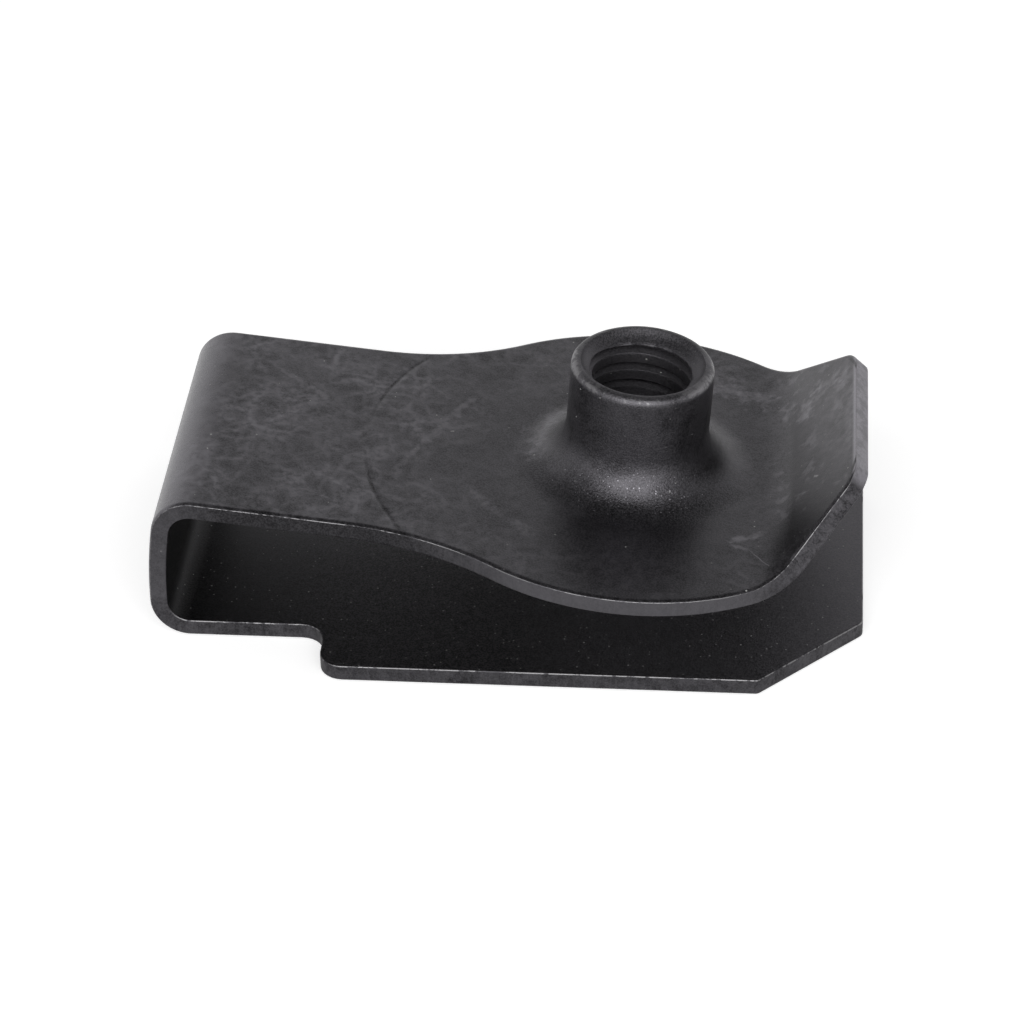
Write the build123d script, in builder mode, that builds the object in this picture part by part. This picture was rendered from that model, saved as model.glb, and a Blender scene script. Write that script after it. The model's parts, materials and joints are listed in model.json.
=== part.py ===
from build123d import *
import math
import os

# U clip speed nut: one strip of spring steel folded into two leaves, with a tapped
# collar drawn up out of the upper leaf. Millimetres. X runs from the fold to the open
# mouth, Y across the strip and Z up. The origin is the centre of the footprint, on the
# underside of the lower leaf.

# Strip
sheet = 0.9  # thickness of the spring steel

# Lower leaf
length = 35.6  # outer face of the fold to the free end of the lower leaf
leaf_width = 22.8
leaf_end_width = 12.6  # free end, between its two cut corners
leaf_corner_radius = 0.5  # where the free end meets the cut corners
step_from_fold = 8.8  # outer face of the fold to the side steps
step_fillet = 1.2  # both corners of each side step

# Fold
neck_width = 16.1  # strip width round the fold and along the neck
fold_height = 8.0  # underside of the lower leaf to the top of the fold
fold_radius = 1.1  # inside radius of both bends
web_lean = 9.0  # degrees that the bowed web turns through between the bends

# Upper leaf
neck_slope = 6.4  # degrees, falling towards the mouth
neck_length = 9.6  # straight part of the neck
set_radius = 165.0  # slow bend between neck and head
head_slope = 4.2  # degrees, falling towards the mouth
head_radius = 12.0  # round head, centred on the collar
neck_fillet = 14.0  # hollow curve from the neck into the head

# Lip at the mouth
lip_from_collar = 6.12  # collar axis to the start of the lip's bend
lip_bend_radius = 2.5  # inside radius, on the upper face
lip_bend_steps = 8  # cross-sections round the bend, after the first
lip_rise = 46.0  # degrees above level
lip_length = 4.32  # straight part
lip_width = 11.2  # free end, before its corners are cut
lip_corner = 0.7  # cut corners of the lip

# Collar and thread
collar_from_fold = 23.85  # outer face of the fold to the collar axis
collar_diameter = 7.2
collar_height = 6.0  # above the head
collar_flare = 2.45  # hollow radius where the collar rises out of the head
collar_entry = 1.2  # round entry underneath
rim_radius = 0.4  # outer edge of the rim
thread_major = 6.0  # M6 x 1 metric thread
thread_pitch = 1.0
mouth_land = 0.1  # the eased mouth stays this far inside the major radius
screw_clearance = 1.0  # added to the major diameter for the hole in the lower leaf

# Worked out
fold_x = -length / 2
leaf_x = length / 2
step_x = fold_x + step_from_fold
collar_x = fold_x + collar_from_fold
fold_outer = fold_radius + sheet
web_rise = fold_height - fold_outer * (2 - math.sin(math.radians(web_lean)))
web_radius = web_rise / math.sin(math.radians(web_lean))
thread_minor = thread_major - thread_pitch  # bore before the tap
collar_radius = collar_diameter / 2
bore_radius = thread_minor / 2


def in_strip(origin, slope):
    """Plane in the strip's own surface, rising along X by slope degrees."""
    rise = math.radians(slope)
    return Plane(
        origin,
        x_dir=(math.cos(rise), 0, math.sin(rise)),
        z_dir=(-math.sin(rise), 0, math.cos(rise)),
    )


def rings(radius):
    """Round edges of one radius in the part being built, the lowest first."""
    circles = edges().filter_by(GeomType.CIRCLE)
    return circles.filter_by(lambda edge: math.isclose(edge.radius, radius)).sort_by(Axis.Z)


with BuildPart() as u_clip:
    # Fold, neck and head: the outer face of the strip from the side, thickened inwards
    with BuildSketch(Plane.XZ):
        with BuildLine():
            root = Line((fold_x + fold_outer + sheet, 0), (fold_x + fold_outer, 0))
            lower_bend = JernArc(root @ 1, root % 1, fold_outer, -90)
            web = JernArc(lower_bend @ 1, lower_bend % 1, web_radius, -web_lean)
            upper_turn = 90 - web_lean + neck_slope
            upper_bend = JernArc(web @ 1, web % 1, fold_outer, -upper_turn)
            neck = Line(upper_bend @ 1, upper_bend @ 1 + (upper_bend % 1) * neck_length)
            set_bend = JernArc(neck @ 1, neck % 1, set_radius, neck_slope - head_slope)
            head_start = set_bend @ 1
            head_run = set_bend % 1
            collar_foot = head_start + head_run * ((collar_x - head_start.X) / head_run.X)
            Line(head_start, collar_foot + head_run * lip_from_collar)
            offset(amount=sheet, side=Side.RIGHT)
        make_face()
    extrude(amount=head_radius, both=True)

    # Outline of the upper leaf: round head, hollow curves, straight neck
    head = in_strip((collar_foot.X, 0, collar_foot.Y), -head_slope)
    with BuildSketch(head):
        Circle(head_radius)
        with Locations((-length / 2, 0)):
            Rectangle(length, neck_width)
        fillet(vertices().group_by(Axis.X)[-1], neck_fillet)
    extrude(amount=length, both=True, mode=Mode.INTERSECT)

    # Bend of the lip: its sides run straight from the round head to the lip's free end
    bend_turn = head_slope + lip_rise
    bend_length = math.radians(bend_turn) * (lip_bend_radius + sheet / 2)
    bend_centre = head.from_local_coords((lip_from_collar, 0, lip_bend_radius))
    bend_width = 2 * math.sqrt(head_radius**2 - lip_from_collar**2)
    side_taper = (bend_width - lip_width) / 2 / (bend_length + lip_length)
    for step in range(lip_bend_steps + 1):
        share = step / lip_bend_steps
        strip = in_strip(bend_centre, share * bend_turn - head_slope)
        with BuildSketch(Plane(bend_centre, x_dir=strip.y_dir, z_dir=strip.x_dir)):
            with Locations((0, -lip_bend_radius - sheet / 2)):
                Rectangle(bend_width - 2 * side_taper * bend_length * share, sheet)
    loft()

    # Straight part of the lip, with cut corners
    lip = in_strip(bend_centre, lip_rise).offset(-lip_bend_radius)
    lip_root = bend_width / 2 - side_taper * bend_length
    lip_end = lip_width / 2
    with BuildSketch(lip):
        with BuildLine():
            Polyline(
                (0, -lip_root),
                (lip_length, -lip_end),
                (lip_length, lip_end),
                (0, lip_root),
                close=True,
            )
        make_face()
        chamfer(vertices().group_by(Axis.X)[-1], lip_corner)
    extrude(amount=-sheet)

    # Lower leaf: narrow root, stepped out to full width, cut corners at the free end
    leaf_cut = (leaf_width - leaf_end_width) / 2
    with BuildSketch():
        with BuildLine():
            FilletPolyline(
                (fold_x + fold_outer, 0),
                (fold_x + fold_outer, neck_width / 2),
                (step_x, neck_width / 2),
                (step_x, leaf_width / 2),
                (leaf_x - leaf_cut, leaf_width / 2),
                (leaf_x, leaf_end_width / 2),
                (leaf_x, 0),
                radius=(0, step_fillet, step_fillet, 0, leaf_corner_radius),
            )
            mirror(about=Plane.XZ)
        make_face()
    extrude(amount=sheet)

    # Collar, square to the head, with a flared foot and a softened rim
    with BuildSketch(head.offset(-sheet / 2)):
        Circle(collar_radius)
    extrude(amount=sheet / 2 + collar_height)
    foot, rim = rings(collar_radius)
    fillet(foot, collar_flare)
    fillet(rim, rim_radius)

    # Bore, drawn round underneath and eased at the mouth
    with BuildSketch(head.offset(-2 * sheet)):
        Circle(bore_radius)
    extrude(amount=2 * sheet + 2 * collar_height, mode=Mode.SUBTRACT)
    entry, mouth = rings(bore_radius)
    fillet(entry, collar_entry)
    chamfer(mouth, thread_major / 2 - mouth_land - bore_radius)

    # Screw hole in the lower leaf, in line with the leaning collar
    drift = (collar_foot.Y - sheet / 2) * math.tan(math.radians(head_slope))
    with BuildSketch():
        with Locations((collar_foot.X - drift, 0)):
            Circle((thread_major + screw_clearance) / 2)
    extrude(amount=sheet, mode=Mode.SUBTRACT)

u_clip.part.label = "u_clip"
os.makedirs("parts", exist_ok=True)
export_step(u_clip.part, "parts/u_clip.step")
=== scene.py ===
import json
import math
from collections import namedtuple

import bmesh
import bpy
import numpy as np
from mathutils import Matrix, Vector
from mathutils.geometry import delaunay_2d_cdt


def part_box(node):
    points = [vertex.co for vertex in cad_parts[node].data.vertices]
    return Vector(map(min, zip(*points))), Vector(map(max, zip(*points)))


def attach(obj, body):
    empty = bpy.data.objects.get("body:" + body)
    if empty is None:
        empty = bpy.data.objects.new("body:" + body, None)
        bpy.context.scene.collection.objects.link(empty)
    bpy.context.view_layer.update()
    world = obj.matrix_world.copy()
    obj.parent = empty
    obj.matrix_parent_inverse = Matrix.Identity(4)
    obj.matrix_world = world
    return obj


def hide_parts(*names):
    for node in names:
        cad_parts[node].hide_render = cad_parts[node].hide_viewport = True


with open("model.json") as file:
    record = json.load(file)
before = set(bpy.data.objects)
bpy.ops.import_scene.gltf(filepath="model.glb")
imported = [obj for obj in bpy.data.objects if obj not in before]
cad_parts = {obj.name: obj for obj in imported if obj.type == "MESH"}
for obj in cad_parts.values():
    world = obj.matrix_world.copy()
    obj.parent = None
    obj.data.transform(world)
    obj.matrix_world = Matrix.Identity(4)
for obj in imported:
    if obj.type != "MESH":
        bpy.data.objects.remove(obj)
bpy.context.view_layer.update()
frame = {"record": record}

# U clip speed nut: one strip of black phosphated spring steel, folded into two leaves,
# with a tapped collar drawn up out of the upper leaf. X runs from the fold to the mouth,
# Y across the strip, Z up. Metres.

mm = 0.001

# ---------------------------------------------------------------- sizes from the frame
clip_low, clip_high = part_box("u_clip")
mounts = {mount["name"]: mount for mount in frame["record"]["mounts"]}
thread_bore = mounts["collar_thread"]
screw_hole = mounts["screw_hole"]

fold_x = clip_low.x
leaf_x = clip_high.x
head_radius = clip_high.y
sheet = mounts["panel_seat"]["pos_m"][2]
screw_hole_x = screw_hole["pos_m"][0]
screw_hole_radius = screw_hole["dims"]["r_mm"] * mm
bore_radius = thread_bore["dims"]["r_mm"] * mm
bore_length = thread_bore["dims"]["length_mm"] * mm
collar_axis = -Vector(thread_bore["axis"])
head_slope = math.atan2(collar_axis.x, collar_axis.z)

# ---------------------------------------------------------------- sizes of the strip
leaf_width = 22.8 * mm
leaf_end_width = 12.6 * mm
leaf_corner_radius = 0.5 * mm
leaf_side_ease = 0.32 * mm  # where the cut corners meet the leaf's sides
step_from_fold = 8.8 * mm
step_fillet = 1.2 * mm
neck_width = 16.1 * mm
fold_height = 8.0 * mm
fold_radius = 1.1 * mm
web_lean = math.radians(9.0)
neck_slope = math.radians(6.4)
neck_length = 9.6 * mm
set_radius = 165.0 * mm  # slow bend between neck and head
neck_fillet = 14.0 * mm
lip_from_collar = 6.12 * mm
lip_side_from_collar = 6.8 * mm  # where its straight sides leave the round head
lip_bend_radius = 2.5 * mm
lip_rise = math.radians(46.0)
lip_length = 4.32 * mm
lip_corner = 0.6 * mm
lip_corner_ease = 1.3 * mm

# ---------------------------------------------------------------- sizes of the collar
collar_radius = 3.6 * mm
collar_flare = 2.45 * mm
collar_entry = 1.2 * mm
rim_radius = 0.4 * mm
mouth_easing = 0.4 * mm
mouth_flare = 0.62 * mm  # how much wider the mouth is than the bore
mouth_depth = 0.6 * mm
mouth_fall = 3  # the higher, the longer the mouth stays wide on its way down
mouth_round = 1.1  # the higher, the sooner it narrows
mouth_taper = 0.45  # share of its width lost on the way down
thread_pitch = 1.0 * mm
thread_depth = 0.42 * mm
thread_start = 0.68 * mm  # lowest edge of the first turn below the rim
thread_start_turn = 0.25  # of a turn round from the mouth side, at the far side
# Section of one turn: a wide flat crest, two straight flanks and a narrow root, as places
# in sixteenths of the pitch and shares of the thread's depth
thread_section_places = (0, 1, 8, 9, 12, 13, 16)
thread_section_depths = (0.05, 0, 0, 0.05, 1, 1, 0.05)

# ---------------------------------------------------------------- finish of the edges
burr_radius = 0.07 * mm  # inner face of the strip
roll_radius = 0.34 * mm  # outer face of the strip, drawn down where it was sheared
roll_turn = math.radians(38.0)
corner_radius = 0.05 * mm  # between the rolled face and the sheared edge
edge_support = 0.04 * mm
lip_end_roll = 0.3  # share of the roll left along the lip's end

# Witness line across the neck: a shallow crease, fainter in the middle
crease_radius = 13.7 * mm
crease_depth = 0.03 * mm
crease_half_width = 0.16 * mm
# Lines side by side, as offsets in half widths and shares of the depth
crease_section = ((-2.2, 0.0), (-1.0, 0.0), (-0.4, 0.8), (0.0, 1.0), (0.5, 0.6), (1.3, 0.0))
crease_middle_depth = 0.25  # share of the depth left in the middle of the neck
crease_middle_reach = 0.35  # share of the half line over which it comes up to full depth

# How rubbed an edge is: 0 not at all, 1 down to bare steel nearly everywhere
roll_rub = 0.3
corner_rub = 1.0
corner_end_rub = 0.5
rim_rub = 0.3
rim_middle_rub = 0.4  # added half way round the rim
thread_rub = 0.2
crest_share = 0.2  # share of the thread's depth that counts as its crest

# ---------------------------------------------------------------- fineness of the mesh
row_step = 0.5 * mm
bend_step = math.radians(6.0)
edge_step = 0.3 * mm
row_clearance = edge_step / 4  # least between a side's end and its first row
shortest_side = edge_step / 10  # of the blank, to have points of its own
edge_turns = 4
corner_steps = 3  # fewest round a corner of the blank
# A side of the blank has its points at the rows where it runs along the strip by more than
# this share of its way across
side_at_rows = 0.2
hole_columns = 96
collar_columns = 128
flare_turns = 14
entry_turns = 7
side_rows = (0.25, 0.5, 0.75, 0.96)  # shares of the collar's straight side
thread_rows = 16
spare_turns = 2  # of the thread, drawn past the mouth and the entry before they are cut off
weld_gap = 0.0005 * mm
net_gap = 1e-5  # in millimetres
sharp_angle = math.radians(38.0)

# ---------------------------------------------------------------- worked out
half_sheet = sheet / 2
quarter_turn = math.pi / 2
fold_outer = fold_radius + sheet
fold_mid = fold_radius + half_sheet
web_rise = fold_height - fold_outer * (2 - math.sin(web_lean))
web_radius = web_rise / math.sin(web_lean)
bend_mid = lip_bend_radius + half_sheet
bend_turn = head_slope + lip_rise
foot_to_bore = collar_entry - sheet + bore_length / 2
collar_foot = Vector(thread_bore["pos_m"]) - collar_axis * foot_to_bore
collar_height = collar_entry - sheet + bore_length + mouth_easing
collar_run = Vector((collar_axis.z, 0, -collar_axis.x))


# ================================================================ the folded line
Run = namedtuple("Run", "start place heading length turn")
LEAF, LOWER_BEND, WEB, UPPER_BEND, NECK, SET_BEND, HEAD, LIP_BEND, LIP = range(9)


def left_of(heading):
    """Unit vector square to a heading, on the strip's outer side."""
    return np.array((-math.sin(heading), math.cos(heading)))


def folded_line():
    """Runs of the strip's middle, from the free end of the lower leaf to the lip.

    Each run holds how far along the strip it starts, the place and the heading there, its
    length and the angle it turns.
    """
    upper_turn = math.pi - quarter_turn - web_lean + neck_slope
    set_turn = neck_slope - head_slope
    bends = {
        LEAF: (leaf_x - fold_x - fold_outer, 0.0),
        LOWER_BEND: (fold_mid * quarter_turn, -quarter_turn),
        WEB: ((web_radius - half_sheet) * web_lean, -web_lean),
        UPPER_BEND: (fold_mid * upper_turn, -upper_turn),
        NECK: (neck_length, 0.0),
        SET_BEND: ((set_radius + half_sheet) * set_turn, set_turn),
        HEAD: (None, 0.0),
        LIP_BEND: (bend_mid * bend_turn, bend_turn),
        LIP: (lip_length, 0.0),
    }
    place = np.array((leaf_x, half_sheet))
    heading = math.pi
    start = 0.0
    runs = []
    for length, turn in bends.values():
        along = np.array((math.cos(heading), math.sin(heading)))
        if length is None:
            foot = np.array((collar_foot.x, collar_foot.z)) - left_of(heading) * half_sheet
            length = (foot - place) @ along + lip_from_collar
        runs.append(Run(start, place, heading, length, turn))
        if turn:
            radius = length / turn
            centre = place + radius * left_of(heading)
            place = centre - radius * left_of(heading + turn)
        else:
            place = place + along * length
        heading = heading + turn
        start = start + length
    return runs


RUNS = folded_line()
STRIP_LENGTH = RUNS[LIP].start + RUNS[LIP].length
COLLAR_S = RUNS[LIP_BEND].start - lip_from_collar
SCREW_S = leaf_x - screw_hole_x


def on_strip(s, y, height):
    """Points of the folded strip for distances s along it, y across it and a height
    above its middle, towards its outer face."""
    s = np.asarray(s, float)
    points = np.zeros((len(s), 3))
    points[:, 1] = y
    for start, place, heading, length, turn in RUNS:
        last = start + length >= STRIP_LENGTH
        here = (s >= start) & ((s < start + length) | last)
        run = s[here] - start
        rise = np.broadcast_to(height, s.shape)[here]
        angle = heading + turn * run / length
        outward = np.stack((-np.sin(angle), np.cos(angle)), 1)
        if turn:
            radius = length / turn
            centre = place + radius * left_of(heading)
            flat = centre + outward * (rise - radius)[:, None]
        else:
            along = np.array((math.cos(heading), math.sin(heading)))
            flat = place + np.outer(run, along) + outward * rise[:, None]
        points[here, 0] = flat[:, 0]
        points[here, 2] = flat[:, 1]
    return points


# ================================================================ the flat blank
def outline_corners():
    """Corners of the flat blank on one side, with the radius of each."""
    half_neck = neck_width / 2
    leaf_cut = (leaf_width - leaf_end_width) / 2
    step_s = leaf_x - fold_x - step_from_fold
    hollow_turn = math.acos((half_neck + neck_fillet) / (head_radius + neck_fillet))
    side_turn = math.asin(lip_side_from_collar / head_radius)
    hollow_s = COLLAR_S - math.sin(hollow_turn) * (head_radius + neck_fillet)
    half_head = (hollow_turn + side_turn) / 2
    head_lean = (hollow_turn - side_turn) / 2
    head_reach = head_radius / math.cos(half_head)
    taper = math.tan(side_turn)
    lip_reach = STRIP_LENGTH - COLLAR_S - lip_side_from_collar
    lip_half = head_radius * math.cos(side_turn) - taper * lip_reach
    return [
        (0.0, leaf_end_width / 2, leaf_corner_radius),
        (leaf_cut, leaf_width / 2, leaf_side_ease),
        (step_s, leaf_width / 2, step_fillet),
        (step_s, half_neck, step_fillet),
        (hollow_s + neck_fillet * math.tan(hollow_turn / 2), half_neck, neck_fillet),
        (
            COLLAR_S - head_reach * math.sin(head_lean),
            head_reach * math.cos(head_lean),
            head_radius,
        ),
        (
            STRIP_LENGTH - lip_corner * math.cos(side_turn),
            lip_half + lip_corner * math.sin(side_turn),
            lip_corner_ease,
        ),
        (STRIP_LENGTH, lip_half - lip_corner, lip_corner_ease),
    ]


def row_places():
    """Distances along the strip where its mesh has a row, close together in the bends."""
    places = [0.0]
    for start, _place, _heading, length, turn in RUNS:
        steps = max(1, math.ceil(length / row_step), math.ceil(abs(turn) / bend_step))
        places += [start + length * step / steps for step in range(1, steps + 1)]
    return np.array(places)


ROWS = row_places()


def between(a, b):
    """Points from a up to b, at the strip's rows or at even steps across it."""
    a = np.array(a)
    b = np.array(b)
    gap = b - a
    if abs(gap[0]) > abs(gap[1]) * side_at_rows:
        shares = (ROWS - a[0]) / gap[0]
        near = row_clearance / np.linalg.norm(gap)
        shares = np.sort(shares[(shares > near) & (shares < 1 - near)])
    else:
        steps = max(1, math.ceil(np.linalg.norm(gap) / row_step))
        shares = np.arange(1, steps) / steps
    return [a] + [a + gap * share for share in shares]


def rounded_corner(before, here, after, radius):
    """Arc that rounds one corner of a line: its points, each with the direction out of
    the blank there. The line runs clockwise."""
    before, here, after = np.array(before), np.array(here), np.array(after)
    arrive = (here - before) / np.linalg.norm(here - before)
    leave = (after - here) / np.linalg.norm(after - here)
    cross = arrive[0] * leave[1] - arrive[1] * leave[0]
    turn = math.atan2(cross, arrive @ leave)
    hand = math.copysign(1, turn)
    side_way = np.array((-arrive[1], arrive[0])) * hand
    centre = here - arrive * (radius * math.tan(abs(turn) / 2)) + side_way * radius
    steps = max(corner_steps, math.ceil(abs(turn) * radius / edge_step))
    arc = []
    for step in range(steps + 1):
        angle = turn * step / steps
        cos = math.cos(angle)
        sin = math.sin(angle)
        spoke = np.array((
            -side_way[0] * cos + side_way[1] * sin,
            -side_way[0] * sin - side_way[1] * cos,
        ))
        arc.append((centre + spoke * radius, -spoke * hand))
    return arc


def blank_outline():
    """Closed outline of the flat blank, with the outward direction at each point."""
    side = outline_corners()
    corners = side + [(s, -y, radius) for s, y, radius in reversed(side)]
    arcs = []
    for index, (s, y, radius) in enumerate(corners):
        before = corners[index - 1][:2]
        after = corners[(index + 1) % len(corners)][:2]
        arcs.append(rounded_corner(before, (s, y), after, radius))
    points = []
    outward = []
    for index, arc in enumerate(arcs):
        points += [point for point, _way in arc[:-1]]
        outward += [way for _point, way in arc[:-1]]
        arc_end, side_way = arc[-1]
        next_start = arcs[(index + 1) % len(arcs)][0][0]
        if np.linalg.norm(next_start - arc_end) > shortest_side:
            straight = between(arc_end, next_start)
            points += straight
            outward += [side_way] * len(straight)
    return np.array(points), np.array(outward)


# ================================================================ mesh helpers
class Steel:
    """Gathers the clip's faces. Each point keeps its place on the strip, in millimetres,
    and how rubbed it is."""

    def __init__(self):
        self.points = []
        self.places = []
        self.faces = []
        self.finish = []
        self.rubbed = []

    def add(self, points, places, rubbed=0.0):
        first = len(self.points)
        self.points += [tuple(point) for point in points]
        self.places += [tuple(place / mm) for place in places]
        self.rubbed += list(np.broadcast_to(rubbed, len(points)))
        return list(range(first, first + len(points)))

    def add_strip(self, s, y, height, rubbed=0.0):
        places = np.stack(np.broadcast_arrays(s, y, height), 1)
        return self.add(on_strip(s, y, height), places, rubbed)

    def add_collar(self, radius, angle, height, rubbed=0.0):
        radius, angle, height = np.broadcast_arrays(radius, angle, height)
        s = COLLAR_S + radius * np.cos(angle)
        places = np.stack((s, radius * np.sin(angle), height + half_sheet), 1)
        return self.add(on_collar(radius, angle, height), places, rubbed)

    def face(self, corners, finish):
        self.faces.append(corners)
        self.finish.append(finish)

    def strip_between(self, ring_a, ring_b, finish, closed=True):
        count = len(ring_a)
        for index in range(count if closed else count - 1):
            after = (index + 1) % count
            self.face((ring_a[index], ring_a[after], ring_b[after], ring_b[index]), finish)

    def strips_along(self, rings, finish, closed=True):
        for ring_a, ring_b in zip(rings, rings[1:]):
            self.strip_between(ring_a, ring_b, finish, closed)


PLAIN, SHEARED, TAPPED = range(3)
steel = Steel()


def ring_points(count, radius):
    """Evenly spaced points of a circle."""
    angle = np.arange(count) * 2 * math.pi / count
    return np.stack((np.cos(angle), np.sin(angle)), 1) * radius


def rolled_side(roll, turn, corner):
    """Section of one face's edge: how far in from the outline, how far below the face,
    how rubbed and how sheared. The face rolls over by the turn, then meets the sheared
    edge in a small corner."""
    reach = roll * math.sin(turn) + corner * (1 - math.sin(turn))
    drop = roll * (1 - math.cos(turn))
    section = [(reach + edge_support, 0.0, 0.0, 0.0)]
    for step in range(edge_turns + 1):
        angle = turn * step / edge_turns
        inset = reach - roll * math.sin(angle)
        rub = roll_rub * (step / edge_turns) ** 3
        section.append((inset, roll * (1 - math.cos(angle)), rub, 0.0))
    for step in range(1, edge_turns + 1):
        angle = turn + (quarter_turn - turn) * step / edge_turns
        inset = corner * (1 - math.sin(angle))
        fall = drop + corner * (math.cos(turn) - math.cos(angle))
        rub = corner_rub if step < edge_turns else corner_end_rub
        section.append((inset, fall, rub, step / edge_turns))
    section.append((0.0, section[-1][1] + edge_support, 0.0, 1.0))
    return section


def edge_section(outer, inner):
    """Section through a whole edge, from the outer face round to the inner face."""
    section = [(inset, half_sheet - fall, rub, shear) for inset, fall, rub, shear in outer]
    section.append((0.0, 0.0, 0.0, 1.0))
    for inset, fall, rub, shear in reversed(inner):
        section.append((inset, fall - half_sheet, rub, shear))
    return section


def smooth_share(value, low, high):
    """0 below the low value, 1 above the high one, smooth between."""
    share = np.clip((value - low) / (high - low), 0, 1)
    return share * share * (3 - 2 * share)


def eased_edge(line, outward, section):
    """Eased edge all along a closed line of the blank. Gives its first and last lines."""
    at_lip_end = smooth_share(line[:, 0], STRIP_LENGTH - lip_corner, STRIP_LENGTH)
    roll = 1 - (1 - lip_end_roll) * at_lip_end
    # The edge of the inner face is rubbed along the lower leaf alone
    exposed = smooth_share(line[:, 0], RUNS[WEB].start, RUNS[LOWER_BEND].start)
    lines = []
    rings = []
    for inset, height, rub, _shear in section:
        if height > 0:
            share = roll
            level = half_sheet - (half_sheet - height) * share
        else:
            share = np.ones(len(line))
            level = height
        if height < 0:
            rub = rub * exposed
        flat = line - outward * (inset * share)[:, None]
        lines.append(flat)
        rings.append(steel.add_strip(flat[:, 0], flat[:, 1], level, rub))
    sheared = [shear for _inset, _height, _rub, shear in section]
    for index, (ring_a, ring_b) in enumerate(zip(rings, rings[1:])):
        cut = sheared[index] + sheared[index + 1] > 0
        steel.strip_between(ring_a, ring_b, SHEARED if cut else PLAIN)
    return lines[0], lines[-1]


def lattice(outline, holes, crease):
    """Even points inside the blank, clear of its outline, holes and crease."""
    half_count = round(head_radius / row_step)
    across = np.arange(-half_count, half_count + 1) * row_step
    s, y = np.meshgrid(ROWS, across, indexing="ij")
    points = np.stack((s.ravel(), y.ravel()), 1)
    inside = np.zeros(len(points), bool)
    for (sa, ya), (sb, yb) in zip(outline, np.roll(outline, -1, 0)):
        crosses = (ya > points[:, 1]) != (yb > points[:, 1])
        with np.errstate(divide="ignore", invalid="ignore"):
            meet = sa + (points[:, 1] - ya) * (sb - sa) / (yb - ya)
        inside ^= crosses & (points[:, 0] < meet)
    clearance = row_step / 2
    gap = np.full(len(points), np.inf)
    for point in [*outline, *crease]:
        gap = np.minimum(gap, np.hypot(*(points - point).T))
    keep = inside & (gap > clearance)
    for centre, radius in holes:
        keep = keep & (np.hypot(points[:, 0] - centre, points[:, 1]) > radius + clearance)
    return points[keep]


def crease_lines():
    """Arcs of the witness line across the neck, each with its share of the depth."""
    arcs = []
    half = neck_width / 2 - roll_radius - edge_step
    steps = math.ceil(2 * half / edge_step)
    for offset, depth in crease_section:
        radius = crease_radius + offset * crease_half_width
        reach = math.asin(half / radius)
        angle = np.linspace(-reach, reach, steps + 1)
        line = np.stack((COLLAR_S - radius * np.cos(angle), radius * np.sin(angle)), 1)
        outwards = np.clip(np.abs(angle) / (crease_middle_reach * reach), 0, 1)
        arcs.append((line, depth * (crease_middle_depth + (1 - crease_middle_depth) * outwards)))
    return arcs


def leaf_face(outline, holes, height, creased):
    """One face of the strip: the outline and holes joined by an even net of triangles."""
    arcs = crease_lines() if creased else []
    crease = [point for line, _depth in arcs for point in line]
    loops = [outline]
    for centre, radius, count in holes:
        loops.append(ring_points(count, radius) + np.array((centre, 0)))
    points = []
    edges = []
    depth = []
    for loop in loops:
        first = len(points)
        points += list(loop)
        depth += [0.0] * len(loop)
        edges += [(first + i, first + (i + 1) % len(loop)) for i in range(len(loop))]
    for line, line_depth in arcs:
        first = len(points)
        points += list(line)
        depth += list(line_depth)
        edges += [(first + i, first + i + 1) for i in range(len(line) - 1)]
    net = lattice(outline, [(centre, radius) for centre, radius, _count in holes], crease)
    points += list(net)
    depth += [0.0] * len(net)
    flat = [Vector(point / mm) for point in points]
    inside_only = 1
    made, _edges, faces, from_points, _from_edges, _from_faces = delaunay_2d_cdt(
        flat, edges, [], inside_only, net_gap
    )
    flat = np.array([tuple(point) for point in made]) * mm
    sunk = np.array([depth[origin[0]] if origin else 0.0 for origin in from_points])
    kept = steel.add_strip(flat[:, 0], flat[:, 1], height - sunk * crease_depth)
    for face in faces:
        centre_s, centre_y = flat[list(face)].mean(0)
        clear = all(
            math.hypot(centre_s - centre, centre_y) > radius
            for centre, radius, _count in holes
        )
        if clear:
            steel.face(tuple(kept[corner] for corner in face), PLAIN)


# ================================================================ the collar
def on_collar(radius, angle, height):
    """Points about the collar's axis, with heights above the head's outer face."""
    return (
        np.array(collar_foot)
        + np.outer(radius * np.cos(angle), collar_run)
        + np.outer(radius * np.sin(angle), (0, 1, 0))
        + np.outer(height, collar_axis)
    )


def entry_radius(height):
    """Radius of the round entry under the head."""
    centre = collar_entry - sheet
    low = np.clip(centre - height, 0, collar_entry)
    return bore_radius + collar_entry - np.sqrt(collar_entry**2 - low**2)


def thread_lead(angle):
    """How far the right-hand thread climbs on its way round to an angle."""
    return thread_pitch * (angle / math.tau - thread_start_turn)


def thread_radius(angle, height):
    """Radius of the tapped bore, opened by the mouth and the round entry."""
    lowest = collar_height - thread_start + thread_lead(angle)
    turn = ((height - lowest) / thread_pitch) % 1.0
    share = np.interp(turn * 16, thread_section_places, thread_section_depths)
    down = np.clip((collar_height - height) / mouth_depth, 0, 1)
    width = mouth_flare * (1 - down**mouth_fall) ** mouth_round * (1 - mouth_taper * down)
    opened = np.maximum(bore_radius + width, entry_radius(height))
    return np.maximum(bore_radius + thread_depth * share, opened)


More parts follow.
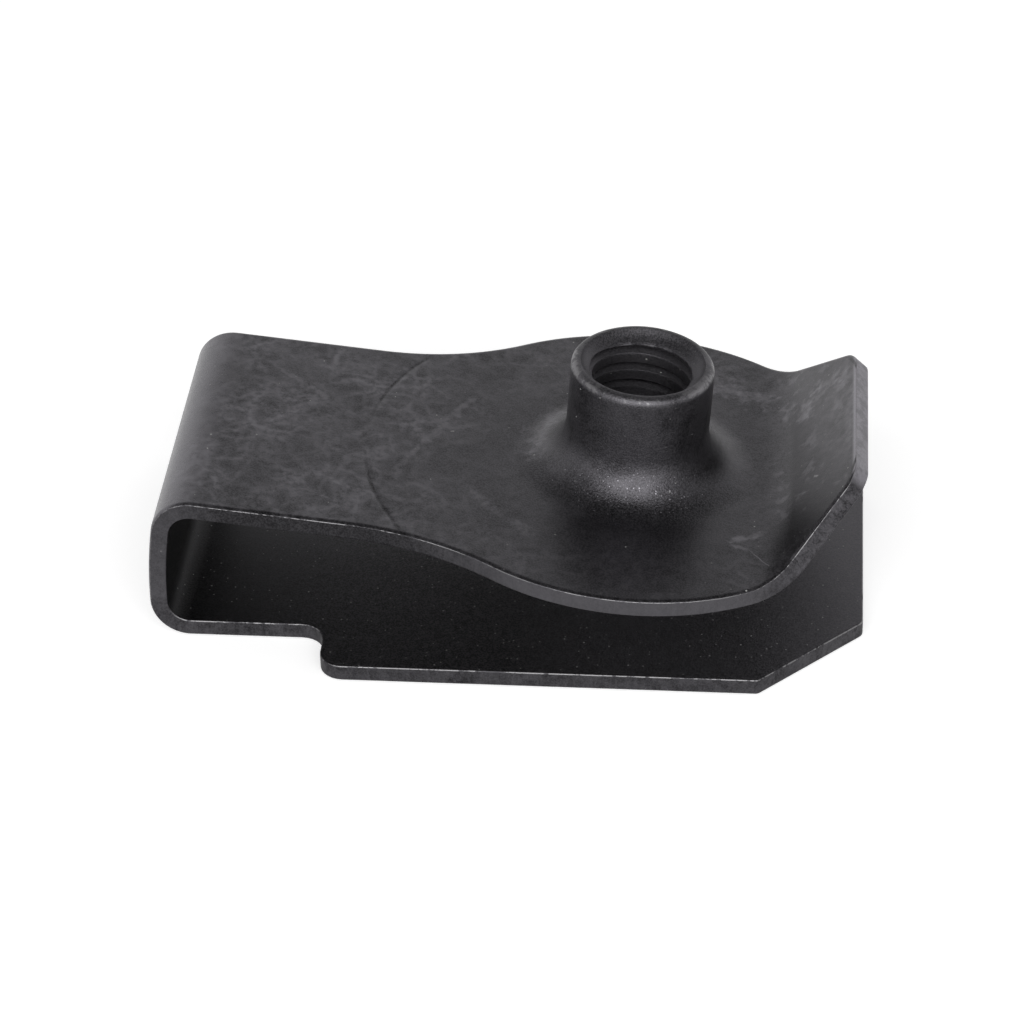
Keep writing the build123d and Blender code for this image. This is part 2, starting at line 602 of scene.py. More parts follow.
def collar_outside(foot_ring_radius):
    """Section of the collar's outside, from the foot up over the rim: radius, height and
    how rubbed."""
    section = [(foot_ring_radius, 0.0, 0.0)]
    for step in range(flare_turns + 1):
        lean = quarter_turn * step / flare_turns
        radius = collar_radius + collar_flare * (1 - math.sin(lean))
        section.append((radius, collar_flare * (1 - math.cos(lean)), 0.0))
    side_top = collar_height - rim_radius
    for share in side_rows:
        section.append((collar_radius, collar_flare + (side_top - collar_flare) * share, 0.0))
    for step in range(edge_turns + 1):
        lean = quarter_turn * step / edge_turns
        radius = collar_radius - rim_radius * (1 - math.cos(lean))
        rub = rim_rub + rim_middle_rub * math.sin(2 * lean)
        section.append((radius, side_top + rim_radius * math.sin(lean), rub))
    return section


def tapped_bore(entry_turn):
    """Lines of the bore. They follow the thread, cut off level at the mouth and where the
    round entry has turned by the entry turn."""
    lowest = collar_entry - sheet - collar_entry * math.sin(entry_turn)
    columns = np.arange(collar_columns + 1) * math.tau / collar_columns
    first = math.ceil(collar_height / thread_pitch + spare_turns) * thread_rows
    last = spare_turns * thread_rows
    lines = []
    for row in range(-first, last):
        lead = thread_pitch * (columns / math.tau - thread_start_turn + row / thread_rows)
        height = np.clip(collar_height - thread_start + lead, lowest, collar_height)
        radius = thread_radius(columns, height)
        crest = np.clip(1 - (radius - bore_radius) / (crest_share * thread_depth), 0, 1)
        lines.append(steel.add_collar(radius, columns, height, thread_rub * crest))
    return lines


def tapped_collar(foot_ring_radius, entry_ring_radius):
    """Collar: flared foot, side, rim, tapped bore and the round entry underneath."""
    angle = np.arange(collar_columns) * math.tau / collar_columns
    outside = [
        steel.add_collar(radius, angle, height, rub)
        for radius, height, rub in collar_outside(foot_ring_radius)
    ]
    steel.strips_along(outside, PLAIN)
    entry_turn = math.acos(1 - thread_depth / collar_entry)
    steel.strips_along(tapped_bore(entry_turn), TAPPED, closed=False)
    mouth_radius = thread_radius(angle, collar_height)
    top = steel.add_collar(mouth_radius, angle, collar_height, thread_rub)
    steel.strip_between(outside[-1], top, PLAIN)

    entry = []
    for step in range(entry_turns + 1):
        lean = entry_turn + (quarter_turn - entry_turn) * step / entry_turns
        radius = bore_radius + collar_entry * (1 - math.cos(lean))
        height = collar_entry - sheet - collar_entry * math.sin(lean)
        entry.append(steel.add_collar(radius, angle, height))
    entry.append(steel.add_collar(entry_ring_radius, angle, -sheet))
    steel.strips_along(entry, PLAIN)


# ================================================================ the whole clip
def lay_out_steel():
    """All points and faces of the clip."""
    line, outward = blank_outline()
    rolled = rolled_side(roll_radius, roll_turn, corner_radius)
    burred = rolled_side(0.0, 0.0, burr_radius)
    outer_line, inner_line = eased_edge(line, outward, edge_section(rolled, burred))
    hole_line = ring_points(hole_columns, screw_hole_radius) + np.array((SCREW_S, 0))
    hole_outward = -ring_points(hole_columns, 1.0)
    eased_edge(hole_line, hole_outward, edge_section(burred, burred))
    screw_ring = (SCREW_S, screw_hole_radius + burr_radius + edge_support, hole_columns)
    foot_ring = collar_radius + collar_flare + edge_support
    entry_ring = bore_radius + collar_entry + edge_support
    outer_holes = [screw_ring, (COLLAR_S, foot_ring, collar_columns)]
    inner_holes = [screw_ring, (COLLAR_S, entry_ring, collar_columns)]
    leaf_face(outer_line, outer_holes, half_sheet, creased=True)
    leaf_face(inner_line, inner_holes, -half_sheet, creased=False)
    tapped_collar(foot_ring, entry_ring)


def fold_the_clip():
    """The whole clip as one closed mesh."""
    lay_out_steel()
    mesh = bpy.data.meshes.new("clip_body")
    mesh.from_pydata(steel.points, [], steel.faces)
    mesh.polygons.foreach_set("material_index", steel.finish)
    rubbed = mesh.attributes.new("rubbed", "FLOAT", "POINT")
    rubbed.data.foreach_set("value", np.array(steel.rubbed, np.float32))
    places = mesh.attributes.new("strip_place", "FLOAT_VECTOR", "POINT")
    places.data.foreach_set("vector", np.array(steel.places, np.float32).ravel())
    work = bmesh.new()
    work.from_mesh(mesh)
    bmesh.ops.remove_doubles(work, verts=work.verts, dist=weld_gap)
    bmesh.ops.dissolve_degenerate(work, edges=work.edges, dist=weld_gap)
    bmesh.ops.recalc_face_normals(work, faces=work.faces)
    work.to_mesh(mesh)
    work.free()
    mesh.shade_smooth()
    mesh.set_sharp_from_angle(angle=sharp_angle)
    clip = bpy.data.objects.new("clip_body", mesh)
    bpy.context.scene.collection.objects.link(clip)
    return clip


clip_body = fold_the_clip()


# ================================================================ finishes
class Wiring:
    """Adds nodes to one node tree and links them. A socket given as a value is linked."""

    def __init__(self, tree):
        self.tree = tree

    def node(self, kind, inputs=(), **settings):
        node = self.tree.nodes.new(kind)
        for name, value in settings.items():
            setattr(node, name, value)
        for key, value in dict(inputs).items():
            if isinstance(value, bpy.types.NodeSocket):
                self.tree.links.new(value, node.inputs[key])
            else:
                node.inputs[key].default_value = value
        return node

    def math(self, operation, *values, clamp=False):
        inputs = dict(enumerate(values))
        node = self.node("ShaderNodeMath", inputs, operation=operation, use_clamp=clamp)
        return node.outputs[0]

    def chain(self, operation, first, *others):
        """Values taken together one after another, such as a product of several."""
        for other in others:
            first = self.math(operation, first, other)
        return first

    def times(self, *values):
        return self.chain("MULTIPLY", *values)

    def plus(self, *values):
        return self.chain("ADD", *values)

    def most(self, *values):
        return self.chain("MAXIMUM", *values)

    def without(self, mask):
        """What a mask leaves out."""
        return self.math("SUBTRACT", 1.0, mask)

    def vector(self, operation, *values, output=0):
        inputs = dict(enumerate(values))
        return self.node("ShaderNodeVectorMath", inputs, operation=operation).outputs[output]

    def away(self, place, other):
        """Distance between two places."""
        return self.vector("DISTANCE", place, other, output="Value")

    def dot(self, first, second):
        return self.vector("DOT_PRODUCT", first, second, output="Value")

    def scaled(self, place, factor):
        inputs = {0: place, "Scale": factor}
        return self.node("ShaderNodeVectorMath", inputs, operation="SCALE").outputs[0]

    def split(self, place):
        return self.node("ShaderNodeSeparateXYZ", {0: place}).outputs

    def joined(self, x, y):
        return self.node("ShaderNodeCombineXYZ", {0: x, 1: y}).outputs[0]

    def attribute(self, name, output):
        return self.node("ShaderNodeAttribute", attribute_name=name).outputs[output]

    def ramp(self, value, low, high, to_low=0.0, to_high=1.0):
        """Smooth step from one level to another as the value goes from low to high. With
        the low value above the high one, it falls."""
        inputs = {
            "Value": value,
            "From Min": low,
            "From Max": high,
            "To Min": to_low,
            "To Max": to_high,
        }
        return self.node(
            "ShaderNodeMapRange", inputs, interpolation_type="SMOOTHSTEP"
        ).outputs[0]

    def fall(self, value, full, gone):
        """Mask that is whole up to one value and gone at the other."""
        return self.ramp(value, full, gone, to_low=1.0, to_high=0.0)

    def stretch(self, value, start, full, fading, end):
        """Mask of a stretch, soft at both ends."""
        return self.math("MINIMUM", self.ramp(value, start, full), self.ramp(value, end, fading))

    def noise(self, place, scale, detail=3.0, roughness=0.6, output="Fac", shift=None):
        """Cloudy noise. A shift keeps two noises from following each other."""
        if shift:
            place = self.vector("ADD", place, shift)
        inputs = {"Vector": place, "Scale": scale, "Detail": detail, "Roughness": roughness}
        return self.node("ShaderNodeTexNoise", inputs).outputs[output]

    def wandering(self, place, scale, roughness, reach):
        """The place, led astray by slow noise, by up to half the reach each way."""
        drift = self.noise(place, scale, roughness=roughness, output="Color")
        drift = self.vector("SUBTRACT", drift, (0.5, 0.5, 0.5))
        return self.vector("ADD", place, self.scaled(drift, reach))

    def cells(self, place, scale, **settings):
        """Cells of irregular size about scattered points."""
        inputs = {"Vector": place, "Scale": scale}
        return self.node("ShaderNodeTexVoronoi", inputs, **settings).outputs

    def chances(self, cells):
        """Three numbers for each cell, each between 0 and 1."""
        return self.node("ShaderNodeSeparateColor", {0: cells["Color"]}).outputs

    def blend(self, share, first, second):
        """First value or colour at share 0, second at share 1."""
        colours = isinstance(second, tuple) or getattr(second, "type", "") == "RGBA"
        inputs = {0: share, 6: first, 7: second} if colours else {0: share, 2: first, 3: second}
        kind = "RGBA" if colours else "FLOAT"
        node = self.node("ShaderNodeMix", inputs, data_type=kind, clamp_factor=True)
        return node.outputs[2 if colours else 0]

    def group(self, group, inputs):
        return self.node("ShaderNodeGroup", inputs, node_tree=group).outputs


VALUE = "NodeSocketFloat"
PLACE = "NodeSocketVector"


def node_group(name, inlets, outlets):
    """New node group with named sockets. Gives the group, its wiring and its inlets, and
    what it puts out is set with put_out."""
    tree = bpy.data.node_groups.new(name, "ShaderNodeTree")
    for label, kind in inlets.items():
        tree.interface.new_socket(name=label, in_out="INPUT", socket_type=kind)
    for label in outlets:
        tree.interface.new_socket(name=label, in_out="OUTPUT", socket_type=VALUE)
    return tree, Wiring(tree), tree.nodes.new("NodeGroupInput").outputs


def put_out(tree, values):
    """Links a group's results to its named outputs."""
    outlets = tree.nodes.new("NodeGroupOutput").inputs
    for label, value in values.items():
        tree.links.new(value, outlets[label])
    return tree


# Sizes of vein, as shares of the vein spacing, and how strong each size is
VEIN_SIZES = {0.45: 0.5, 1.0: 0.85, 2.2: 1.0}
BLOTCH_SIZE = 1.0


def phosphate_tone():
    """Light feathery veins between dark blotches, as phosphated and oiled steel dries.
    Spread is how much of the surface has strong veins. Places, spacings and widths are in
    millimetres."""
    inlets = {"Place": PLACE, "Vein Spacing": VALUE, "Vein Width": VALUE, "Spread": VALUE}
    outlets = ("Veins", "Blotches", "Clouds")
    tree, wiring, given = node_group("phosphate_tone", inlets, outlets)
    place = given["Place"]
    wandering = wiring.wandering(place, scale=0.6, roughness=0.5, reach=1.3)
    veins = []
    for size, strength in VEIN_SIZES.items():
        spacing = wiring.times(given["Vein Spacing"], size)
        scale = wiring.math("DIVIDE", 1.0, spacing)
        border = wiring.cells(wandering, scale, feature="DISTANCE_TO_EDGE")["Distance"]
        widths_away = wiring.math("DIVIDE", wiring.times(border, spacing), given["Vein Width"])
        softness = 0.55 + 0.2 * size
        veins.append(wiring.ramp(widths_away, 0.0, softness, to_low=strength, to_high=0.0))
        if size == BLOTCH_SIZE:
            chance = wiring.chances(wiring.cells(wandering, scale))[0]
            heart_of_cell = wiring.ramp(widths_away, 0.3, 1.2)
            blotches = wiring.times(wiring.ramp(chance, 0.35, 1.0), heart_of_cell)
    feather = wiring.noise(place, scale=2.4, detail=4.0, roughness=0.65)
    feather = wiring.ramp(feather, 0.34, 0.64, to_low=0.2)
    patch = wiring.noise(place, scale=0.3, roughness=0.5, shift=(31.0, 7.0, 3.0))
    low = wiring.math("SUBTRACT", 0.8, given["Spread"])
    patch = wiring.ramp(patch, low, wiring.plus(low, 0.3), to_low=0.25)
    cloud_shift = (5.0, 19.0, 11.0)
    clouds = wiring.noise(place, scale=0.5, detail=6.0, roughness=0.65, shift=cloud_shift)
    return put_out(tree, {
        "Veins": wiring.times(wiring.most(*veins), feather, patch),
        "Blotches": blotches,
        "Clouds": wiring.ramp(clouds, 0.32, 0.68),
    })


def dust():
    """Scattered specks. Spacing and size are in millimetres, and share is how many of the
    places where one could lie are taken."""
    inlets = {"Place": PLACE, "Spacing": VALUE, "Size": VALUE, "Share": VALUE}
    tree, wiring, given = node_group("dust", inlets, ("Specks",))
    smallest = 0.4  # share of the size
    faintest = 0.15  # share of full strength
    mostly_faint = 2.5  # the higher, the fewer strong ones
    cells = wiring.cells(given["Place"], wiring.math("DIVIDE", 1.0, given["Spacing"]))
    away = wiring.times(cells["Distance"], given["Spacing"])
    chances = wiring.chances(cells)
    taken = wiring.math("LESS_THAN", chances[0], given["Share"])
    size = wiring.times(given["Size"], wiring.plus(chances[1], smallest))
    speck = wiring.fall(wiring.math("DIVIDE", away, size), 0.6, 1.0)
    strength = wiring.math("POWER", chances[2], mostly_faint)
    strength = wiring.plus(wiring.times(strength, 1 - faintest), faintest)
    return put_out(tree, {"Specks": wiring.times(speck, taken, strength)})


def edge_wear():
    """Where rubbed edges show bare steel. Breaks is how far the bare line is broken up."""
    inlets = {"Place": PLACE, "Rubbed": VALUE, "Breaks": VALUE}
    tree, wiring, given = node_group("edge_wear", inlets, ("Bare",))
    coarse = wiring.noise(given["Place"], scale=0.5)
    fine = wiring.noise(given["Place"], scale=4.5, shift=(3.0, 5.0, 9.0))
    luck = wiring.plus(coarse, wiring.times(fine, 0.7))
    luck = wiring.ramp(luck, 0.62, 1.05, to_low=-1.0, to_high=0.6)
    reach = wiring.plus(given["Rubbed"], wiring.times(luck, given["Breaks"]))
    rubbed = wiring.math("MINIMUM", given["Rubbed"], 1.0)
    return put_out(tree, {"Bare": wiring.times(wiring.ramp(reach, 0.45, 0.95), rubbed)})


def steel_grain():
    """Fine crystalline grain over slow waves, as a level and a height in millimetres."""
    inlets = {"Place": PLACE, "Grain Size": VALUE, "Grain Depth": VALUE, "Wave Depth": VALUE}
    tree, wiring, given = node_group("steel_grain", inlets, ("Grain", "Height"))
    scale = wiring.math("DIVIDE", 1.0, given["Grain Size"])
    grain = wiring.noise(given["Place"], scale, detail=2.0)
    wave = wiring.noise(given["Place"], scale=0.9, detail=2.0, roughness=0.5)
    grain_height = wiring.times(grain, given["Grain Depth"])
    return put_out(tree, {
        "Grain": wiring.ramp(grain, 0.36, 0.64),
        "Height": wiring.plus(grain_height, wiring.times(wave, given["Wave Depth"])),
    })


def scratch():
    """One scratch or smear between two places on the strip, thin at its ends."""
    inlets = {"Place": PLACE, "From": PLACE, "To": PLACE, "Width": VALUE, "Breaks": VALUE}
    tree, wiring, given = node_group("scratch", inlets, ("Mark",))
    reach = wiring.times(given["Width"], 4.0)
    place = wiring.wandering(given["Place"], scale=1.4, roughness=0.6, reach=reach)
    way = wiring.vector("SUBTRACT", given["To"], given["From"])
    out = wiring.vector("SUBTRACT", place, given["From"])
    along = wiring.math("DIVIDE", wiring.dot(out, way), wiring.dot(way, way), clamp=True)
    away = wiring.away(out, wiring.scaled(way, along))
    mark = wiring.fall(wiring.math("DIVIDE", away, given["Width"]), 0.2, 1.0)
    broken = wiring.noise(given["Place"], scale=1.8, detail=5.0, roughness=0.7)
    broken = wiring.blend(given["Breaks"], 1.0, wiring.ramp(broken, 0.25, 0.8))
    return put_out(tree, {"Mark": wiring.times(mark, broken)})


TONE = phosphate_tone()
DUST = dust()
WEAR = edge_wear()
GRAIN = steel_grain()
SCRATCH = scratch()

BARE_STEEL = (0.24, 0.235, 0.243, 1)
DUST_GREY = (0.4, 0.4, 0.39, 1)


def grey(level):
    """Near-black of the phosphate, a little towards violet."""
    return (level, level * 0.965, level * 1.05, 1)


# ---------------------------------------------------------------- where the looks change
# All in millimetres. Stretches along the strip: start, full, fading and end.
OUTER_BEND = (35.0, 37.0, 41.6, 43.4)
HEAD_FACE = (50.0, 58.0, 70.0, 74.0)
NECK_EDGE = (42.0, 45.0, 52.0, 56.0)
HEAD_EDGE = (53.0, 60.0, 69.0, 73.0)
# Along the strip: where a look starts and where it is full
ONTO_HEAD = (50.0, 58.0)
ONTO_LIP = (70.0, 73.0)
LIP_TURNS_UP = (70.2, 72.8)
LIP_STREAKS_START = (70.6, 72.4)
INTO_MOUTH = (11.0, 19.0)
NEAR_FOLD = (24.0, 32.0)
UNDER_NECK = (31.5, 34.0)
# Along the strip: where a look is still full and where it has faded
INNER_FACE_ENDS = (69.0, 72.5)
LIP_SHADE_FADES = (73.2, 77.1)
# From the lip's free end
FACE_END = (0.3, 0.08)
EDGE_END = (0.5, 0.15)
# Across the strip, towards the near side or the far side
NEAR_HALF = (-1.0, -6.5)
NEAR_OF_COLLAR = (-2.2, -4.4)
FAR_OF_COLLAR = (0.3, 2.2)
CREASE_FROM_MIDDLE = (0.5, 3.2)
# Above the strip's middle, on its outer side
INNER_FACE = (-0.1, 0.1)
COLLAR_RIM = (5.6, 6.1)
COLLAR_FOOT = (3.0, 1.8)
# From the collar's axis
DRAWN_STEEL = (5.0, 6.6)
CALM_HEAD = (6.5, 11.5)
COLLAR_SIDE = (4.1, 3.65)
SPARKLING_FLARE = (5.5, 4.7)
# From the witness line across the neck
CREASE_SHADE = (0.03, 0.15)
# Striae of the sheared edge, along and across the strip and through its thickness
STRIAE_PER_MM = (5.0, 5.0, 1.6)

# Scuffs on the outer face, as places along and across the strip in millimetres: from, to,
# width, how broken, how strong. A third number is a height, on the collar. The two beside the
# collar's foot are partly real scratches and partly a painted highlight.
SCUFFS_AND_HIGHLIGHTS = [
    ((55.4, 4.2), (52.7, -1.6), 0.3, 0.6, 0.3),
    ((52.7, -1.6), (52.3, -3.6), 0.3, 0.6, 0.25),
    ((55.9, -3.9), (59.4, -7.3), 0.4, 1.0, 0.3),
    ((45.0, 5.2), (48.0, 2.9), 0.22, 0.6, 0.3),
    ((69.2, -6.3), (70.9, -5.3), 0.28, 0.8, 0.6),
    ((69.3, -6.6), (70.0, -6.9), 0.16, 0.8, 0.5),
    ((70.1, -6.9), (71.3, -8.3), 0.04, 0.1, 0.6),
    ((64.6, -3.5, 3.9), (64.7, -3.5, 5.1), 0.3, 0.9, 0.12),
    # Partly scratches, partly a painted highlight on the left of the collar's flared foot
    ((59.8, 3.4), (59.2, -0.2), 0.95, 1.0, 0.5),
    ((58.5, 2.2), (59.5, 1.0), 0.5, 1.0, 0.35),
    ((73.4, 3.7), (74.5, 4.8), 0.85, 1.0, 0.65),
    ((75.3, 4.7), (76.2, 3.7), 0.7, 1.0, 0.65),
    ((71.9, 5.4), (72.3, 4.6), 0.6, 1.0, 0.45),
    ((76.8, 2.4), (76.8, -2.6), 0.5, 1.0, 0.35),
    ((67.8, 8.0), (69.4, 7.2), 0.95, 1.0, 0.6),
    ((69.8, 6.9), (71.0, 6.6), 0.9, 1.0, 0.6),
]
FLECKS = [
    ((74.25, -2.85), (74.5, -3.1), 0.09, 0.0, 1.0),
    ((54.65, 1.1), (54.75, 1.15), 0.08, 0.0, 1.0),
]


class PhosphatedSteel:
    """One finish of the steel, from its own set of values. Greys are laid over each other,
    each through a mask of where it shows."""

    def __init__(self, name, look):
        self.look = look
        self.material = bpy.data.materials.new(name)
        self.material.use_nodes = True
        self.wiring = Wiring(self.material.node_tree)
        self.find_places()
        self.lay_tone()
        self.lay_shades()
        if look["face"]:
            self.streak_the_lip()
            self.scuff()
            self.shade_crease()
        else:
            self.roughen_edge()
        self.darken_far_rim()
        self.lay_grain()
        self.bare_and_dust()
        self.wire_the_shader()

    def paint(self, mask, level, strength=None):
        """Lays a grey over the colour."""
        if strength is not None:
            mask = self.wiring.times(mask, strength)
        self.colour = self.wiring.blend(mask, self.colour, grey(level))

    def strip_streaks(self, way, length, width):
        """Fine streaks that run one way along the strip, as a level."""
        wiring = self.wiring
        along = wiring.math("DIVIDE", wiring.dot(self.strip, (way[0], way[1], 0.0)), length)
        across = wiring.math("DIVIDE", wiring.dot(self.strip, (-way[1], way[0], 0.0)), width)
        return wiring.noise(wiring.joined(along, across), scale=1.0)

    def marks(self, places):
        """Scuffs with their painted highlight, or flecks, as one mask. A place without a height
        is on the outer face.
        """
        wiring = self.wiring
        shown = []
        for *ends, width, breaks, strength in places:
            start, end = [(*place, half_sheet / mm)[:3] for place in ends]
            mark = wiring.group(SCRATCH, {
                "Place": self.strip,
                "From": start,
                "To": end,
                "Width": width,
                "Breaks": breaks,
            })
            shown.append(wiring.times(mark["Mark"], strength))
        return wiring.most(*shown)

    def lip_end(self, distances):
        """Mask of the lip's free end."""
        start, full = (STRIP_LENGTH / mm - distance for distance in distances)
        return self.wiring.ramp(self.s, start, full, to_high=0.8)

    def find_places(self):
        """Where each point lies: along and across the strip, above its middle, from the
        collar, and on its inner or outer side."""
        wiring = self.wiring
        metres = wiring.node("ShaderNodeTexCoord").outputs["Object"]
        self.place = wiring.scaled(metres, 1 / mm)
        self.strip = wiring.attribute("strip_place", "Vector")
        self.rubbed = wiring.attribute("rubbed", "Fac")
        self.s, self.y, self.height = wiring.split(self.strip)
        flat = wiring.joined(self.s, self.y)
        self.from_collar = wiring.away(flat, (COLLAR_S / mm, 0.0, 0.0))
        self.drawn = wiring.fall(self.from_collar, *DRAWN_STEEL)
        self.on_collar = wiring.ramp(self.from_collar, *COLLAR_SIDE)
        self.inner = 0.0
        if self.look["face"]:
            before_lip = wiring.fall(self.s, *INNER_FACE_ENDS)
            self.inner = wiring.times(wiring.fall(self.height, *INNER_FACE), before_lip)
        self.outer = wiring.without(self.inner)

    def lay_tone(self):
        """Dark and mid greys in clouds, with blotches and veins that are calmer round the
        collar and left off the inner faces."""
        wiring, look = self.wiring, self.look
        tone = wiring.group(TONE, {
            "Place": self.place,
            "Vein Spacing": look["vein_spacing"],
            "Vein Width": look["vein_width"],
            "Spread": look["spread"],
        })
        calm = wiring.times(wiring.fall(self.from_collar, *CALM_HEAD), look["calm"])
        lively = wiring.without(wiring.most(calm, self.inner))
        self.veins = wiring.times(tone["Veins"], look["veins"], lively)
        self.colour = wiring.blend(tone["Clouds"], grey(look["dark"]), grey(look["mid"]))
        self.paint(wiring.times(tone["Blotches"], look["blotches"], lively), look["blotch"])
        self.paint(self.veins, look["light"])

    def lay_shades(self):
        """Broad greys: a darker head, painted shade on the near side and inside the clip, painted
        light on the collar's side, and a lighter outer bend, partly polish, partly painted
        highlight.
        """
        wiring, look = self.wiring, self.look
        self.paint(wiring.stretch(self.s, *HEAD_FACE), look["dark"], strength=0.3)
        # Painted shade: the near side of the head and the lip is darkened
        head = wiring.ramp(self.s, *ONTO_HEAD, to_high=0.3)
        lip = wiring.ramp(self.s, *ONTO_LIP, to_high=0.35)
        near_half = wiring.ramp(self.y, *NEAR_HALF)
        self.paint(wiring.times(wiring.plus(head, lip), near_half), look["dark"])
        # Painted light: the collar's side is lightened
        self.paint(self.on_collar, look["collar"], strength=0.45)
        # Painted shade inside the clip: the inner faces darken from the leaf's free end in towards
        # the fold, and more again under the neck
        depth = wiring.ramp(self.s, *INTO_MOUTH)
        inside = wiring.blend(depth, grey(look["mouth"]), grey(look["inside"]))
        inner_shade = wiring.times(self.inner, look["inner_cover"])
        self.colour = wiring.blend(inner_shade, self.colour, inside)
        self.paint(wiring.times(self.inner, wiring.ramp(self.s, *UNDER_NECK)), look["under"])
        # Lighter outer bend of the fold, partly polish and partly a painted highlight
        self.bend = wiring.times(wiring.stretch(self.s, *OUTER_BEND), self.outer)
        self.paint(self.bend, look["light"], strength=0.5)

    def streak_the_lip(self):
        """Dark patches on the collar's side, and streaks over painted shade on the lip."""
        wiring, look = self.wiring, self.look
        patches = wiring.noise(self.place, scale=0.75, detail=5.0, roughness=0.65)
        patches = wiring.ramp(patches, 0.46, 0.66, to_low=0.1)
        self.paint(wiring.times(self.on_collar, patches, 0.8), look["dark"])
        # Painted shade over the lip, full at its bend and fading to half at its free end
        turned_up = wiring.ramp(self.s, *LIP_TURNS_UP)
        fading = wiring.ramp(self.s, *LIP_SHADE_FADES, to_low=1.0, to_high=0.5)
        lip = wiring.times(turned_up, fading)
        self.paint(wiring.times(lip, self.outer), look["lip"], strength=0.6)
        long = self.strip_streaks(way=(0.86, -0.51), length=1.5, width=0.3)
        fine = self.strip_streaks(way=(0.3, 0.95), length=0.9, width=0.13)
        streaks = wiring.most(
            wiring.ramp(long, 0.5, 0.75),
            wiring.ramp(fine, 0.5, 0.8, to_high=0.6),
            wiring.ramp(patches, 0.5, 1.0, to_high=0.55),
        )
        streaks = wiring.times(streaks, wiring.ramp(self.s, *LIP_STREAKS_START), patches)
        self.paint(streaks, look["light"], strength=0.7)

    def scuff(self):
        """Bare free end of the lip, and the scuffs, with a painted highlight beside the collar's
        foot.
        """
        self.paint(self.lip_end(FACE_END), self.look["end"])
        self.paint(self.marks(SCUFFS_AND_HIGHLIGHTS), self.look["scuff"])

    def shade_crease(self):
        """Painted shade along the crease of the witness line across the neck."""
        wiring = self.wiring
        off_crease = wiring.math("SUBTRACT", self.from_collar, crease_radius / mm)
        crease = wiring.fall(wiring.math("ABSOLUTE", off_crease), *CREASE_SHADE)
        from_middle = wiring.ramp(wiring.math("ABSOLUTE", self.y), *CREASE_FROM_MIDDLE)
        faint = wiring.noise(self.place, scale=0.9)
        faint = wiring.ramp(faint, 0.35, 0.65, to_low=0.25, to_high=0.9)
        shown = wiring.times(crease, from_middle, faint, self.outer)
        # Painted shade in the crease
        self.paint(shown, self.look["crease"])

    def roughen_edge(self):
        """Striae and mottle of a sheared edge, lighter round the head and at the lip's
        end, darker along the neck."""
        wiring, look = self.wiring, self.look
        place = wiring.vector("MULTIPLY", self.strip, STRIAE_PER_MM)
        striae = wiring.noise(place, scale=1.0, detail=4.0, roughness=0.65)
        striae = wiring.ramp(striae, 0.42, 0.68, to_high=0.4)
        self.paint(striae, look["light"])
        shift = (2.0, 41.0, 7.0)
        mottle = wiring.noise(self.place, scale=1.4, detail=4.0, roughness=0.7, shift=shift)
        mottle = wiring.ramp(mottle, 0.4, 0.65, to_high=0.5)
        self.paint(mottle, look["light"])
        self.paint(wiring.stretch(self.s, *HEAD_EDGE), look["head_edge"], strength=0.6)
        self.paint(wiring.stretch(self.s, *NECK_EDGE), look["dark"], strength=0.75)
        patchy = wiring.ramp(mottle, 0.0, 0.5, to_low=1.0, to_high=0.55)
        self.paint(wiring.times(self.lip_end(EDGE_END), patchy), look["end"])

    def darken_far_rim(self):
        """Painted shade on the far side of the collar's rim."""
        wiring = self.wiring
        far_side = wiring.ramp(self.y, *FAR_OF_COLLAR)
        far_rim = wiring.times(wiring.ramp(self.height, *COLLAR_RIM), far_side)
        self.paint(far_rim, self.look["far_rim"], strength=0.8)

    def lay_grain(self):
        """Grain, deeper where the steel was drawn up into the collar, and its pepper."""
        wiring, look = self.wiring, self.look
        drawn_depth = look["grain_depth"] * look["drawn_grain"]
        self.grain = wiring.group(GRAIN, {
            "Place": self.place,
            "Grain Size": look["grain_size"],
            "Grain Depth": wiring.blend(self.drawn, look["grain_depth"], drawn_depth),
            "Wave Depth": look["wave_depth"],
        })
        inside = wiring.ramp(self.s, *NEAR_FOLD, look["mouth_pepper"], look["fold_pepper"])
        pepper = wiring.blend(self.inner, look["pepper"], inside)
        pepper = wiring.blend(self.drawn, pepper, wiring.times(pepper, look["drawn_pepper"]))
        self.paint(wiring.times(pepper, self.grain["Grain"]), look["speck"])

    def sparks(self):
        """Painted glints: bright specks on the near side of the collar's flared foot, where the
        front lamp's highlight falls.
        """
        wiring, look = self.wiring, self.look
        foot = wiring.times(
            wiring.ramp(self.from_collar, *SPARKLING_FLARE),
            wiring.ramp(self.height, *COLLAR_FOOT),
            wiring.ramp(self.y, *NEAR_OF_COLLAR),
        )
        return wiring.group(DUST, {
            "Place": self.place,
            "Spacing": look["spark_spacing"],
            "Size": look["spark_size"],
            "Share": wiring.times(foot, look["spark_share"]),
        })["Specks"]

    def bare_and_dust(self):
        """Bare steel at rubbed edges and flecks, painted glints on the collar's foot, and dust,
        mostly inside the clip.
        """
        wiring, look = self.wiring, self.look
        self.bare = wiring.group(WEAR, {
            "Place": self.place,
            "Rubbed": self.rubbed,
            "Breaks": look["breaks"],
        })["Bare"]
        if look["face"]:
            self.bare = wiring.most(self.bare, self.marks(FLECKS))
            # Painted glints on the near side of the collar's foot
            self.paint(wiring.times(self.sparks(), self.outer), look["spark"])
        self.specks = wiring.group(DUST, {
            "Place": self.place,
            "Spacing": look["dust_spacing"],
            "Size": look["dust_size"],
            "Share": wiring.blend(self.inner, look["dust_outside"], look["dust_inside"]),
        })["Specks"]
        self.colour = wiring.blend(self.bare, self.colour, BARE_STEEL)
        self.colour = wiring.blend(self.specks, self.colour, DUST_GREY)

